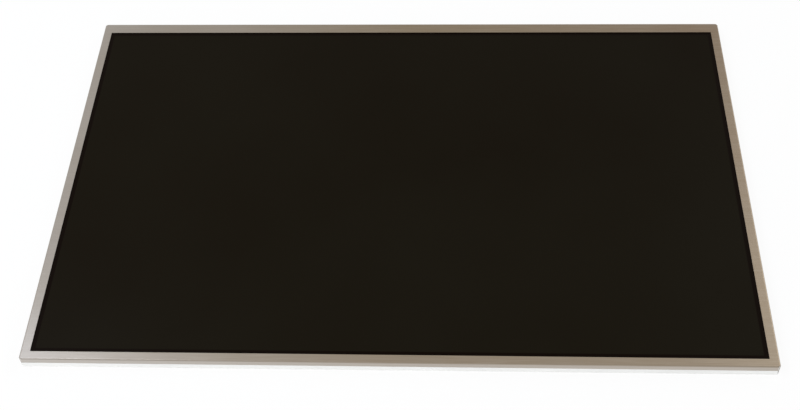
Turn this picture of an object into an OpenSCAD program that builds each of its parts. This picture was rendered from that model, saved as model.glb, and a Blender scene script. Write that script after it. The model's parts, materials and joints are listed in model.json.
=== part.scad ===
// Laptop screen panel: a liquid crystal display module with an edge-lit backlight.
// The module lies on its back. X runs along its width, Y up the picture, towards the edge
// that carries the driver board, and Z from the rear rim to the front face.
// Its origin is the centre of the rear plane. All sizes are in millimetres.

/* [Picture and frame borders] */
// Width of the picture area
picture_w = 331.2; // [320:0.1:360]
// Height of the picture area
picture_h = 207; // [200:0.1:230]
// Black margin between the picture and the bezel's opening
view_margin = 1.9; // [1.4:0.1:3]
// Width of the bezel's flange at the left and right
side_flange = 4.5; // [4.3:0.1:7]
// Width of the bezel's flange at the near edge
near_flange = 4.3; // [4.1:0.1:7]
// Width of the bezel's flange at the driver edge
far_flange = 6.9; // [6.7:0.1:9]

/* [Front bezel] */
// Thickness of the bezel's steel sheet
bezel_t = 0.25; // [0.2:0.01:0.3]
// Outside radius of the bezel's folds
bezel_bend_r = 0.6; // [0.5:0.05:0.9]
// Depth of the folded wall at the near edge
near_wall_h = 3.0; // [2.8:0.1:4]
// Depth of the folded walls at the other three edges
side_wall_h = 5.2; // [5:0.1:5.5]
// Length cut away from each wall at the corners
corner_relief = 1.0; // [0.7:0.1:2]
// Clearance between the bezel's walls and the moulded frame
bezel_fit = 0.1; // [0.05:0.01:0.15]
// Thickness of the foam gasket under the flange
gasket_t = 0.15; // [0.1:0.01:0.25]
// How far the gasket stays back from the bezel's opening
gasket_setback = 0.2; // [0.1:0.05:0.3]

/* [Snap hooks] */
// Length of a window in the bezel's wall
window_w = 6; // [4:0.5:8]
// Height of a window in the bezel's wall
window_h = 1.3; // [1.1:0.1:1.4]
// Depth of a window's upper edge below the front face
window_drop = 1.0; // [0.8:0.1:1.1]
// Clearance round a hook in its window
hook_play = 0.15; // [0.05:0.05:0.25]
// How far a hook stands out from the moulded frame
hook_out = 0.3; // [0.2:0.01:0.33]
// Number of hooks along each side edge
side_hooks = 4; // [2:2:4]
// Distance between hooks along each side edge
side_hook_pitch = 60; // [56:1:62]

/* [Liquid crystal cell] */
// Thickness of each glass plate
glass_t = 0.5; // [0.4:0.05:0.7]
// Gap that the liquid crystal fills
cell_gap = 0.005; // [0.004:0.001:0.02]
// Thickness of each polariser
polariser_t = 0.2; // [0.1:0.01:0.25]
// Width of the black border of the colour filter glass round the picture
glass_border = 3.0; // [2.9:0.1:3.1]
// Width of the polarisers' border round the picture
polariser_border = 2.7; // [2.6:0.05:2.8]
// Width of the perimeter seal
seal_w = 1.0; // [0.6:0.1:1.5]
// How far the seal stays in from the colour filter glass's edge
seal_inset = 0.4; // [0.2:0.1:0.8]
// Width of the array glass's ledge for the source films
source_ledge = 2.5; // [2.2:0.1:2.6]
// Width of the array glass's ledge for the gate drivers
gate_ledge = 1.8; // [1.6:0.1:1.9]
// How far the array glass stands out at its plain edges
plain_ledge = 0.4; // [0.2:0.1:0.6]
// Clearance round the array glass in the moulded frame
cell_play = 0.3; // [0.2:0.05:0.35]

/* [Gate and source drivers] */
// Width of a gate driver chip
gate_chip_w = 0.9; // [0.7:0.1:1.1]
// Length of a gate driver chip
gate_chip_len = 14; // [10:1:18]
// Height of a driver chip on the glass
gate_chip_h = 0.4; // [0.3:0.05:0.5]
// Distance from the picture's end to the first source film
film_end_gap = 29; // [28.6:0.2:34]
// Width of a source film
film_w = 36; // [30:1:38]
// Thickness of a source film
film_t = 0.06; // [0.04:0.01:0.08]
// Inside radius of a source film's folds
film_bend_r = 0.45; // [0.4:0.05:0.5]
// Length of a source film's bond to the glass
glass_bond = 1.4; // [1:0.1:1.8]
// Length of a source film's bond to the board
board_bond = 1.8; // [1.2:0.1:2.2]
// Clearance round a source film
film_play = 0.15; // [0.1:0.05:0.2]
// Length of a source driver chip
source_chip_len = 20; // [14:1:26]
// Width of a source driver chip
source_chip_w = 1.6; // [1:0.1:2]
// Height of a source driver chip
source_chip_h = 0.5; // [0.3:0.05:0.55]

/* [Backlight] */
// Thickness of the light guide
guide_t = 1.0; // [1:0.05:1.4]
// How far the light guide reaches past the picture
guide_border = 0.9; // [0.6:0.1:1.2]
// Clearance round the light guide and films
guide_play = 0.3; // [0.2:0.05:0.4]
// Width of the locating ears on the light guide and films
ear_w = 8; // [5:1:12]
// How far the locating ears stand out
ear_out = 1.1; // [0.8:0.1:1.3]
// Distance of the locating ears from the centre line
ear_y = 33; // [20:1:40]
// Thickness of a diffuser film
diffuser_t = 0.13; // [0.1:0.01:0.2]
// Thickness of a prism film
prism_t = 0.16; // [0.1:0.01:0.2]
// Thickness of the reflector
reflector_t = 0.2; // [0.18:0.01:0.3]
// Free height above the stack of films
film_stack_play = 0.1; // [0.05:0.01:0.2]
// Thickness of the tape between the frame's shelf and the cell
cell_tape_t = 0.06; // [0.05:0.01:0.15]
// Length of a cushion at the light guide's near edge
pad_w = 12; // [6:1:20]

/* [Light bar] */
// Number of light emitting diodes
led_count = 48; // [36:1:54]
// Length of a diode's package
led_w = 3.2; // [2:0.1:3.8]
// Depth of a diode's package
led_d = 1.0; // [0.6:0.1:1.2]
// Height of a diode's package
led_h = 0.85; // [0.6:0.05:0.95]
// Gap between a diode and the light guide
led_gap = 0.05; // [0.02:0.01:0.1]
// Thickness of the light bar's thermal tape
light_tape_t = 0.05; // [0.05:0.01:0.08]
// How far the light bar's flex reaches under the light guide
flex_overlap = 1.8; // [1:0.1:2.5]
// Room behind the diodes
led_back_room = 0.5; // [0.4:0.05:0.6]
// Width of the flex's tail
tail_w = 8; // [6:0.5:8]
// Inside radius of the tail's folds
tail_bend_r = 0.3; // [0.2:0.05:0.3]

/* [Moulded frame] */
// Thickness of the shelf that carries the cell
shelf_t = 0.5; // [0.4:0.05:0.8]
// How far the shelf stays back from the picture
shelf_setback = 0.4; // [0.2:0.1:0.5]
// Width of the ledge that carries the rear chassis
ledge_w = 2.8; // [2.7:0.05:2.9]
// Gap between the frame's top and the bezel's flange
mould_top_gap = 0.05; // [0.02:0.01:0.1]
// Gap between the bezel's walls and the frame's rim
rim_gap = 0.1; // [0.05:0.05:0.2]
// Corner radius of the frame
corner_r = 0.8; // [0.5:0.1:1.2]

/* [Rear chassis] */
// Thickness of the chassis sheet
chassis_t = 0.3; // [0.25:0.05:0.4]
// Clearance round the chassis in the frame
chassis_play = 0.2; // [0.1:0.05:0.3]
// Height of the stiffening beads
bead_h = 0.6; // [0.3:0.1:0.8]
// Width of the stiffening beads
bead_w = 9; // [6:1:14]
// Length of a bead's sloping flank
bead_run = 1.8; // [1:0.1:2.5]
// Distance of the outer beads from the chassis's edges
bead_inset = 20; // [14:1:30]
// Number of upright beads between the outer ones
bead_count = 2; // [0:1:4]

/* [Side mounts] */
// Distance between the two screw holes of a side
mount_pitch = 140; // [132:1:150]
// Height of the screw holes above the rear plane
mount_z = 2.85; // [2.85:0.05:2.9]
// Radius of the tapped holes for M2 screws
mount_r = 0.8; // [0.75:0.05:0.85]
// Radius of the clearance holes in the bezel
mount_clear_r = 1.25; // [1.1:0.05:1.3]
// Wall of the drawn collar round a tapped hole
mount_collar_t = 0.4; // [0.3:0.05:0.4]
// Length of the drawn collar round a tapped hole
mount_collar_len = 1.1; // [0.8:0.1:1.1]
// Width of a mounting tab
tab_w = 12; // [8:1:14]
// Height of a mounting tab's top above the rear plane
tab_top_z = 4.5; // [4.3:0.1:4.7]
// Inside radius of a mounting tab's fold
tab_bend_r = 0.2; // [0.1:0.05:0.25]
// Clearance round a mounting tab in the frame
tab_play = 0.2; // [0.1:0.05:0.3]

/* [Driver board] */
// Distance from the picture's end to the driver board's end
board_end_gap = 16.6; // [16:0.2:17.6]
// Width of the driver board
board_d = 18.4; // [18:0.1:20]
// Thickness of the driver board
board_t = 0.6; // [0.5:0.05:0.8]
// Thickness of the tape under the board
board_tape_t = 0.1; // [0.05:0.01:0.15]
// Height left for the parts on the board
part_room = 0.8; // [0.8:0.05:1]
// Thickness of the cover film over the board
cover_t = 0.08; // [0.05:0.01:0.12]
// Air between the cover film and the rear plane
cover_air = 0.07; // [0.03:0.01:0.1]
// Width of the cover film's glued margin on the chassis
cover_margin = 3; // [2:0.5:6]
// Width of the frame's rim left bare beside the cover film
cover_edge = 0.7; // [0.5:0.1:1.5]
// Length of the cover film's sloping part
cover_slope = 2; // [1.5:0.1:4]

/* [Screws] */
// Distance of the board screws from the board's near edge
board_screw_inset = 5; // [4:0.5:6]
// Distance of the left board screw from the board's end
left_screw_inset = 6; // [3:0.5:10]
// Distance of the right board screw from the board's end
right_screw_inset = 22; // [16:0.5:24]
// Place of the middle board screw along the board
middle_screw_x = 8; // [0:1:12]
// Shank radius of the chassis screws
screw_r = 0.6; // [0.5:0.05:0.65]
// Head radius of the screws
screw_head_r = 1.3; // [1.1:0.05:1.35]
// Head height of the screws
screw_head_h = 0.5; // [0.4:0.05:0.6]
// Length of the chassis screws under the head
screw_len = 1.6; // [1.2:0.1:1.7]
// Clearance round a screw's shank in sheet metal
screw_play = 0.15; // [0.1:0.05:0.2]
// Clearance round a screw's shank in its own thread
thread_play = 0.02; // [0.01:0.01:0.03]
// Number of chassis screws along the near edge
near_screws = 4; // [2:1:6]
// Distance of the outer near screws from the chassis's side edges
near_screw_inset = 25.6; // [10:0.2:40]
// Distance of the far screws from the chassis's side edges
far_screw_inset = 5.6; // [3:0.2:8]
// Distance of the lower side screws from the chassis's near edge
side_screw_inset = 13.8; // [8:0.2:25]
// Wall of the drawn collars that the board screws turn in
collar_t = 0.35; // [0.25:0.05:0.4]

/* [Signal connector] */
// Distance of the connector's middle from the board's left end
plug_inset = 53; // [48:1:58]
// Number of contacts
contact_count = 40; // [30:1:40]
// Distance between contacts
contact_pitch = 0.5; // [0.5:0.05:0.6]
// Width of a contact
contact_w = 0.2; // [0.15:0.01:0.25]
// Depth of the connector's housing
plug_d = 4.0; // [3.6:0.1:5]
// Depth of the mouth for the plug
plug_mouth_d = 2.6; // [2.2:0.1:2.8]
// Thickness of the connector's steel shell
shell_t = 0.1; // [0.08:0.01:0.12]
// Height of the connector
plug_h = 0.78; // [0.76:0.01:0.8]

/* [Parts on the board] */
// Least distance between a part and the board's edge
board_edge = 0.5; // [0.2:0.1:1]
// Height of the chips
chip_h = 0.72; // [0.6:0.02:0.76]
// Size of the timing controller
controller_w = 10; // [8:0.5:10.5]
// Distance of the timing controller's middle from the connector's
controller_dx = 34; // [32:1:44]
// Distance of the memory chip's middle from the connector's
memory_dx = 20; // [18:0.5:21]
// Place of the gamma buffer along the board
gamma_x = 28; // [20:1:36]
// Distance of the backlight driver's middle from the board's right end
led_driver_inset = 42; // [37:1:45]
// Size of the backlight driver
led_driver_w = 4; // [3:0.5:5]
// Size of a power inductor
inductor_w = 5; // [4:0.5:6]
// Place of the first power inductor along the board
inductor_x = -24; // [-30:1:-10]
// Distance from the backlight driver's middle to the second power inductor's
inductor_dx = 11; // [8:0.5:14]
// Height of a power inductor
inductor_h = 0.75; // [0.6:0.05:0.78]
// Length of a capacitor
capacitor_len = 1.6; // [1:0.1:1.8]
// Length of a resistor
resistor_len = 1.0; // [0.8:0.1:1.2]
// Width of the light bar connector's wall beside the tail
light_plug_end = 1.5; // [1:0.1:1.8]
// Depth of the light bar connector
light_plug_d = 4; // [3:0.1:5]
// Height of the light bar connector
light_plug_h = 0.7; // [0.62:0.01:0.78]
// Length of the tail inside its connector
light_plug_grip = 1.8; // [1:0.1:2]
// Distance of the light bar connector from the board's far edge
light_plug_setback = 5; // [3:0.5:8]

/* [Hidden] */

$fn = 48;
eps = 0.01;

// Pieces that each have a node of their own
gate_count = 3;
film_count = 4;
pad_count = 4;

// Colours
steel_c = [0.66, 0.61, 0.55];
screen_c = [0.11, 0.10, 0.08];
glass_c = [0.55, 0.66, 0.64];
white_c = [0.93, 0.93, 0.90];
clear_c = [0.86, 0.90, 0.92];
alloy_c = [0.78, 0.79, 0.80];
polyimide_c = [0.72, 0.47, 0.16];
chip_c = [0.13, 0.13, 0.14];
board_c = [0.08, 0.32, 0.20];
gold_c = [0.85, 0.68, 0.35];
tape_c = [0.10, 0.10, 0.10];

// Boxes in plan are [left, near, right, far]
function grown(b, d) = [b[0] - d, b[1] - d, b[2] + d, b[3] + d];
function grown_each(b, l, n, r, f) = [b[0] - l, b[1] - n, b[2] + r, b[3] + f];
function width(b) = b[2] - b[0];
function depth(b) = b[3] - b[1];
function mid_x(b) = (b[0] + b[2]) / 2;
// Positions of n things a pitch apart, centred on zero
function spread(n, pitch) = [for (i = [0:n - 1]) (i - (n - 1) / 2) * pitch];

// Outlines in plan
panel_w = picture_w + 2 * (view_margin + side_flange);
panel_h = picture_h + 2 * view_margin + near_flange + far_flange;
outline = [-panel_w / 2, -panel_h / 2, panel_w / 2, panel_h / 2];
opening = grown_each(outline, -side_flange, -near_flange, -side_flange, -far_flange);
picture = grown(opening, -view_margin);
mould = grown(outline, -bezel_t - bezel_fit);
filter_glass = grown(picture, glass_border);
array = grown_each(filter_glass, gate_ledge, plain_ledge, plain_ledge, source_ledge);
polariser = grown(picture, polariser_border);
cell_pocket = grown(array, cell_play);
shelf_opening = grown(picture, shelf_setback);
guide = grown(picture, guide_border);
diode_back = guide[3] + led_gap + led_d;
guide_pocket = grown_each(guide, guide_play, guide_play, guide_play, led_gap + led_d + led_back_room);
chassis = grown(guide_pocket, ledge_w);
rim_inside = grown(chassis, chassis_play);

// Levels, from the rear plane to the front face
cover_z = cover_air;
part_z = cover_z + cover_t;
board_face_z = part_z + part_room;
board_z1 = board_face_z + board_t;
chassis_z = board_z1 + board_tape_t;
reflector_z = chassis_z + chassis_t;
guide_z = reflector_z + reflector_t;
lower_diffuser_z = guide_z + guide_t;
lower_prism_z = lower_diffuser_z + diffuser_t;
upper_prism_z = lower_prism_z + prism_t;
upper_diffuser_z = upper_prism_z + prism_t;
shelf_z = upper_diffuser_z + diffuser_t + film_stack_play;
cell_tape_z = shelf_z + shelf_t;
rear_polariser_z = cell_tape_z + cell_tape_t;
array_z = rear_polariser_z + polariser_t;
seal_z = array_z + glass_t;
filter_z = seal_z + cell_gap;
front_polariser_z = filter_z + glass_t;
gasket_z = front_polariser_z + polariser_t;
flange_z = gasket_z + gasket_t;
panel_t = flange_z + bezel_t;
mould_top_z = flange_z - mould_top_gap;

// Source films: the fold outside the frame, and the run to the board
film_out_y = outline[3] - bezel_t - film_play;
film_in_y = film_out_y - film_t;
film_rear_z = board_face_z - film_t;
film_bend_out = film_bend_r + film_t;
film_fold_y = film_out_y - film_bend_out;
film_slot_w = film_w + 2 * film_play;
film_pitch = (picture_w - 2 * film_end_gap - film_w) / (film_count - 1);
film_xs = spread(film_count, film_pitch);

// Driver board
board_far_y = guide_pocket[3] - film_play;
board_end_x = picture_w / 2 - board_end_gap;
board = [-board_end_x, board_far_y - board_d, board_end_x, board_far_y];
board_screw_xs = [board[0] + left_screw_inset, middle_screw_x, board[2] - right_screw_inset];
board_screw_y = board[1] + board_screw_inset;
board_screw_len = board_t + board_tape_t + chassis_t;
collar_r = screw_r + thread_play + collar_t;
board_mid_y = (board[1] + board[3]) / 2;

// Cover film: its margin on the chassis, its slope and its lap on the frame's rim
cover_near_y = board[1] - cover_slope - cover_margin;
cover = [board[0] - cover_margin, cover_near_y, board[2] + cover_margin, outline[3] - cover_edge];

// Light bar
flex_t = reflector_t - light_tape_t;
flex_z = reflector_z + light_tape_t;
flex_far_y = diode_back + led_back_room / 2;
flex = [picture[0], guide[3] - flex_overlap, picture[2], flex_far_y];
tail_bend_out = tail_bend_r + flex_t;
tail_out_y = board[3] + 2 * film_play + tail_bend_out;
tail_rear_z = board_face_z - (part_room + flex_t) / 2;
light_plug_w = tail_w + 2 * light_plug_end;
tail_x = board[2] - board_edge - light_plug_w / 2;
tail_box = [tail_x - tail_w / 2, flex[3], tail_x + tail_w / 2, tail_out_y];
light_plug_far_y = board[3] - light_plug_setback;

// Side mounts
mount_ys = spread(2, mount_pitch);
tab_leaf_x = mould[2] - chassis_t;

// Chassis screws stand in the middle of the ledge
ledge_mid_x = guide_pocket[2] + ledge_w / 2;
near_screw_y = guide_pocket[1] - ledge_w / 2;
far_screw_y = guide_pocket[3] + ledge_w / 2;
near_screw_pitch = 2 * (chassis[2] - near_screw_inset) / (near_screws - 1);
chassis_screw_places = concat(
    [for (x = spread(near_screws, near_screw_pitch)) [x, near_screw_y]],
    [for (s = [-1, 1], y = [chassis[1] + side_screw_inset, 0]) [s * ledge_mid_x, y]],
    [for (s = [-1, 1]) [s * (chassis[2] - far_screw_inset), far_screw_y]]
);

// Signal connector: its mouth faces the near edge and its tongue stands in the mouth
contact_t = 0.1;
tongue_t = 0.16;
plug_floor = 0.12;
plug_end = 2.7;
contact_xs = spread(contact_count, contact_pitch);
plug_w = (contact_count - 1) * contact_pitch + 2 * plug_end;
plug_mouth_w = plug_w - plug_end - 2 * contact_w;
plug_body_h = plug_h - shell_t;
plug_x = board[0] + plug_inset;
plug_near_y = board[1] - film_play;
tongue_z = (plug_floor + plug_body_h - tongue_t) / 2;

// Small parts on the board, as the places of their middles
film_row_y = board[3] - board_bond - 1.2;
controller_x = plug_x + controller_dx;
memory_x = plug_x + memory_dx;
led_driver_x = board[2] - led_driver_inset;
inductor_xs = [inductor_x, led_driver_x - inductor_dx];
gamma_size = [6.5, 4.4];
capacitor_gap = capacitor_len * 0.5;
resistor_gap = resistor_len * 0.8;
row_gap = 2;
function row(x, y, n, pitch) = [for (dx = spread(n, pitch)) [x + dx, y]];
capacitors = concat(
    [for (x = film_xs) each row(x, film_row_y, 6, film_w * 0.15)],
    row(controller_x, board_mid_y - controller_w / 2 - row_gap, 4, controller_w * 0.28),
    row(inductor_xs[0] + inductor_w + row_gap, board_mid_y, 3, capacitor_len + capacitor_gap),
    row(inductor_xs[1], board_mid_y - inductor_w / 2 - row_gap, 3, capacitor_len + capacitor_gap)
);
resistors = concat(
    row(plug_x, board[1] + plug_d + row_gap + 0.6, 8, resistor_len + 2 * resistor_gap),
    row(gamma_x, board_mid_y - gamma_size[1] / 2 - row_gap - 0.4, 6, resistor_len + resistor_gap),
    row((gamma_x + led_driver_x) / 2, board_mid_y, 8, resistor_len + resistor_gap),
    row(led_driver_x, board_mid_y - led_driver_w / 2 - row_gap, 4, resistor_len * 1.6)
);

// Plain shapes

module plate(b, z, t) {
    translate([b[0], b[1], z]) cube([width(b), depth(b), t]);
}

module ring(outer, inner, z, t) {
    difference() {
        plate(outer, z, t);
        plate(inner, z - eps, t + 2 * eps);
    }
}

module rounded_plate(b, r, z, t) {
    translate([0, 0, z]) linear_extrude(t) {
        translate([b[0] + r, b[1]]) square([width(b) - 2 * r, depth(b)]);
        translate([b[0], b[1] + r]) square([width(b), depth(b) - 2 * r]);
        for (x = [b[0] + r, b[2] - r], y = [b[1] + r, b[3] - r]) translate([x, y]) circle(r);
    }
}

// A block with four sloping flanks, from its base at z down to z - h
module sloped_block(b, z, h, run) {
    intersection() {
        translate([0, b[3], 0]) rotate([90, 0, 0]) linear_extrude(depth(b))
            polygon([[b[0], z], [b[2], z], [b[2] - run, z - h], [b[0] + run, z - h]]);
        translate([b[0], 0, 0]) rotate([90, 0, 90]) linear_extrude(width(b))
            polygon([[b[1], z], [b[3], z], [b[3] - run, z - h], [b[1] + run, z - h]]);
    }
}

// Quarter of a tube's section, between angles a and a + 90
module quarter(r_in, r_out, a) {
    rotate(a) intersection() {
        difference() {
            circle(r_out);
            circle(r_in);
        }
        square(r_out);
    }
}

// Extrudes a section drawn in Y and Z along X
module along_x(x, w) {
    translate([x - w / 2, 0, 0]) rotate([90, 0, 90]) linear_extrude(w) children();
}

// Hole across the whole width at a side mount
module side_hole(y, r) {
    translate([outline[0] - eps, y, mount_z]) rotate([0, 90, 0]) cylinder(r = r, h = panel_w + 2 * eps);
}

module board_screw_holes(r) {
    for (x = board_screw_xs) translate([x, board_screw_y, 0]) cylinder(r = r, h = panel_t);
}

// Places parts on the board's face, where their own Z points away from the board
module on_board(x, y) {
    translate([x, y, board_face_z]) mirror([0, 0, 1]) children();
}

// Cross-recessed pan head screw, its head at the origin and its shank along -Z
module pan_screw(shank_r, len) {
    recess = [screw_head_r * 1.1, 0.28, screw_head_h * 0.6];
    difference() {
        union() {
            rotate_extrude() polygon([
                [0, 0], [screw_head_r, 0], [screw_head_r, screw_head_h * 0.5],
                [screw_head_r * 0.8, screw_head_h], [0, screw_head_h],
            ]);
            translate([0, 0, -len]) cylinder(r = shank_r, h = len + eps);
        }
        for (a = [0, 90]) rotate(a)
            translate([-recess[0] / 2, -recess[1] / 2, screw_head_h - recess[2]])
                cube([recess[0], recess[1], recess[2] + eps]);
    }
}

// Front bezel

// Section of one folded edge: X is outward from the outline, Y is up from the rear plane
module fold_section(wall_h) {
    translate([-bezel_bend_r, panel_t - bezel_bend_r])
        quarter(bezel_bend_r - bezel_t, bezel_bend_r, 0);
    translate([-bezel_t, panel_t - wall_h]) square([bezel_t, wall_h - bezel_bend_r]);
}

module folded_edge(len, wall_h) {
    rotate([90, 0, 0]) translate([0, 0, -len / 2]) linear_extrude(len) fold_section(wall_h);
}

module window_row(positions) {
    for (y = positions)
        translate([-bezel_t - eps, y - window_w / 2, panel_t - window_drop - window_h])
            cube([bezel_t + 2 * eps, window_w, window_h]);
}

// Puts what is drawn for the right-hand edge on all four edges: 0 right, 1 far, 2 left, 3 near
module at_edge(i) {
    if (i == 0) translate([outline[2], 0, 0]) children();
    if (i == 1) translate([0, outline[3], 0]) rotate(90) children();
    if (i == 2) translate([outline[0], 0, 0]) rotate(180) children();
    if (i == 3) translate([0, outline[1], 0]) rotate(-90) children();
}

function edge_len(i) = (i % 2 == 0) ? panel_h : panel_w;
function edge_wall(i) = (i == 3) ? near_wall_h : side_wall_h;

// Hooks hold three edges: along the far one they stand between the films, and the near one has none
hooked_edges = [0, 1, 2];
function edge_hooks(i) = (i == 1) ? spread(film_count + 1, film_pitch) : spread(side_hooks, side_hook_pitch);

module front_bezel() {
    color(steel_c) difference() {
        union() {
            ring(grown(outline, -bezel_bend_r), opening, flange_z, bezel_t);
            for (i = [0:3]) at_edge(i) folded_edge(edge_len(i) - 2 * corner_relief, edge_wall(i));
        }
        for (i = hooked_edges) at_edge(i) window_row(edge_hooks(i));
        for (y = mount_ys) side_hole(y, mount_clear_r);
    }
}

module bezel_gasket() {
    color(tape_c) ring(polariser, grown(opening, gasket_setback), gasket_z, gasket_t);
}

// Liquid crystal cell

module front_polariser() {
    color(screen_c) plate(polariser, front_polariser_z, polariser_t);
}

module colour_filter_glass() {
    color(glass_c) plate(filter_glass, filter_z, glass_t);
}

module cell_seal() {
    seal = grown(filter_glass, -seal_inset);
    color(white_c) ring(seal, grown(seal, -seal_w), seal_z, cell_gap);
}

module array_glass() {
    color(glass_c) plate(array, array_z, glass_t);
}

module rear_polariser() {
    color(screen_c) plate(polariser, rear_polariser_z, polariser_t);
}

module gate_driver(i) {
    x = array[0] + (gate_ledge - gate_chip_w) / 2;
    y = spread(gate_count, picture_h / gate_count)[i] - gate_chip_len / 2;
    color(chip_c) translate([x, y, seal_z]) cube([gate_chip_w, gate_chip_len, gate_chip_h]);
}

// Bonded to the glass, folded down outside the frame and in again to the board
module source_film(i) {
    glass_y = array[3] - glass_bond;
    board_y = board[3] - board_bond;
    top_z = seal_z + film_t - film_bend_out;
    low_z = film_rear_z + film_bend_out;
    color(polyimide_c) along_x(film_xs[i], film_w) {
        translate([glass_y, seal_z]) square([film_fold_y - glass_y, film_t]);
        translate([film_fold_y, top_z]) quarter(film_bend_r, film_bend_out, 0);
        translate([film_in_y, low_z]) square([film_t, top_z - low_z]);
        translate([film_fold_y, low_z]) quarter(film_bend_r, film_bend_out, -90);
        translate([board_y, film_rear_z]) square([film_fold_y - board_y, film_t]);
    }
}

module source_driver(i) {
    x = film_xs[i] - source_chip_len / 2;
    y = (board[3] + film_fold_y - source_chip_w) / 2;
    color(chip_c) translate([x, y, film_rear_z - source_chip_h])
        cube([source_chip_len, source_chip_w, source_chip_h]);
}

// Moulded frame

// Wedge that snaps into a bezel window, drawn for the right-hand edge
module hook(y) {
    z0 = panel_t - window_drop - window_h + hook_play;
    z1 = panel_t - window_drop - hook_play;
    nose_z = z0 + (z1 - z0) * 0.4;
    x = -bezel_t - bezel_fit;
    w = window_w - 2 * hook_play;
    translate([0, y + w / 2, 0]) rotate([90, 0, 0]) linear_extrude(w)
        polygon([[x - eps, z0], [x + hook_out, z0], [x + hook_out, nose_z], [x, z1], [x - eps, z1]]);
}

module mould_body() {
    shoulder_z = panel_t - bezel_bend_r;
    rounded_plate(mould, corner_r, 0, shoulder_z);
    rounded_plate(grown(mould, bezel_t - bezel_bend_r), corner_r, 0, mould_top_z);
    rounded_plate(outline, corner_r, 0, panel_t - side_wall_h - rim_gap);
    near_rim = [outline[0], outline[1], outline[2], mould[1] + corner_r];
    intersection() {
        rounded_plate(outline, corner_r, 0, panel_t - near_wall_h - rim_gap);
        plate(grown_each(near_rim, -corner_relief, 0, -corner_relief, 0), 0, panel_t);
    }
    for (i = hooked_edges) at_edge(i) for (y = edge_hooks(i)) hook(y);
}

// Slot for a source film: over the wall, down its outside and in under it
module film_slot(x) {
    slot = [x - film_slot_w / 2, cell_pocket[3] - cell_play, x + film_slot_w / 2, outline[3] + eps];
    plate(slot, seal_z - film_play, panel_t);
    plate([slot[0], film_in_y - film_play, slot[2], slot[3]], -eps, panel_t);
    plate([slot[0], chassis[3], slot[2], slot[3]], -eps, board_face_z + film_play + eps);
}

module tab_slot(y) {
    w = tab_w + 2 * tab_play;
    x = tab_leaf_x - tab_play;
    translate([x, y - w / 2, -eps]) cube([panel_w, w, tab_top_z + tab_play + eps]);
    translate([chassis[2], y - w / 2, -eps]) cube([panel_w, w, reflector_z + tab_bend_r + tab_play + eps]);
    translate([tab_leaf_x - mount_collar_len - tab_play, y, mount_z]) rotate([0, 90, 0])
        cylinder(r = mount_r + mount_collar_t + tab_play, h = mount_collar_len + tab_play);
}

module mould_frame() {
    ear_half = ear_w / 2 + guide_play;
    ears = [guide_pocket[0] - ear_out, ear_y - ear_half, guide_pocket[2] + ear_out, ear_y + ear_half];
    color(white_c) difference() {
        mould_body();
        plate(cell_pocket, cell_tape_z, panel_t);
        plate(shelf_opening, -eps, panel_t);
        plate(guide_pocket, -eps, shelf_z + eps);
        plate(ears, -eps, shelf_z + eps);
        plate(rim_inside, -eps, reflector_z + eps);
        for (x = film_xs) film_slot(x);
        for (y = mount_ys, m = [0, 1]) mirror([m, 0, 0]) tab_slot(y);
        plate(grown_each(tail_box, film_play, 0, film_play, film_play), -eps, guide_z + film_play + eps);
        plate(grown(cover, film_play), -eps, part_z + eps);
        for (p = chassis_screw_places) translate([p[0], p[1], reflector_z - eps])
            cylinder(r = screw_r + thread_play, h = screw_len - chassis_t + 0.1);
    }
}

module cell_tape() {
    color(tape_c) ring(polariser, shelf_opening, cell_tape_z, cell_tape_t);
}

// Backlight

// A sheet with its two locating ears
module eared_sheet(b, z, t) {
    plate(b, z, t);
    translate([b[0] - ear_out, ear_y - ear_w / 2, z]) cube([width(b) + 2 * ear_out, ear_w, t]);
}

module upper_diffuser() {
    color(white_c) eared_sheet(guide, upper_diffuser_z, diffuser_t);
}

module upper_prism_film() {
    color(clear_c) eared_sheet(guide, upper_prism_z, prism_t);
}

module lower_prism_film() {
    color(clear_c) eared_sheet(guide, lower_prism_z, prism_t);
}

module lower_diffuser() {
    color(white_c) eared_sheet(guide, lower_diffuser_z, diffuser_t);
}

module light_guide() {
    color(clear_c) eared_sheet(guide, guide_z, guide_t);
}

module reflector() {
    sheet = [guide[0], guide[1], guide[2], flex[1] - guide_play];
    color(white_c) eared_sheet(sheet, reflector_z, reflector_t);
}

// The tail folds through the chassis and runs back to its connector on the board
module light_bar_flex() {
    mid_y = tail_out_y - tail_bend_out;
    top_z = flex_z + flex_t;
    end_y = light_plug_far_y - light_plug_grip;
    color(polyimide_c) {
        plate(flex, flex_z, flex_t);
        along_x(tail_x, tail_w) {
            translate([flex[3] - eps, flex_z]) square([mid_y - flex[3] + eps, flex_t]);
            translate([mid_y, top_z - tail_bend_out]) quarter(tail_bend_r, tail_bend_out, 0);
            translate([tail_out_y - flex_t, tail_rear_z + tail_bend_out])
                square([flex_t, top_z - tail_rear_z - 2 * tail_bend_out]);
            translate([mid_y, tail_rear_z + tail_bend_out]) quarter(tail_bend_r, tail_bend_out, -90);
            translate([end_y, tail_rear_z]) square([mid_y - end_y, flex_t]);
        }
    }
}

module light_bar_tape() {
    color(tape_c) plate(flex, reflector_z, light_tape_t);
}

module light_bar_diodes() {
    pitch = width(picture) / led_count;
    color(white_c) for (x = spread(led_count, pitch)) difference() {
        translate([x - led_w / 2, guide[3] + led_gap, guide_z]) cube([led_w, led_d, led_h]);
        translate([x - led_w * 0.35, guide[3] + led_gap - eps, guide_z + led_h * 0.2])
            cube([led_w * 0.7, led_d * 0.3, led_h * 0.6]);
    }
}

module guide_pad(i) {
    x = spread(pad_count, width(guide) / pad_count)[i];
    color(tape_c) translate([x - pad_w / 2, guide_pocket[1], guide_z]) cube([pad_w, guide_play, guide_t]);
}

// Rear chassis

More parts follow.
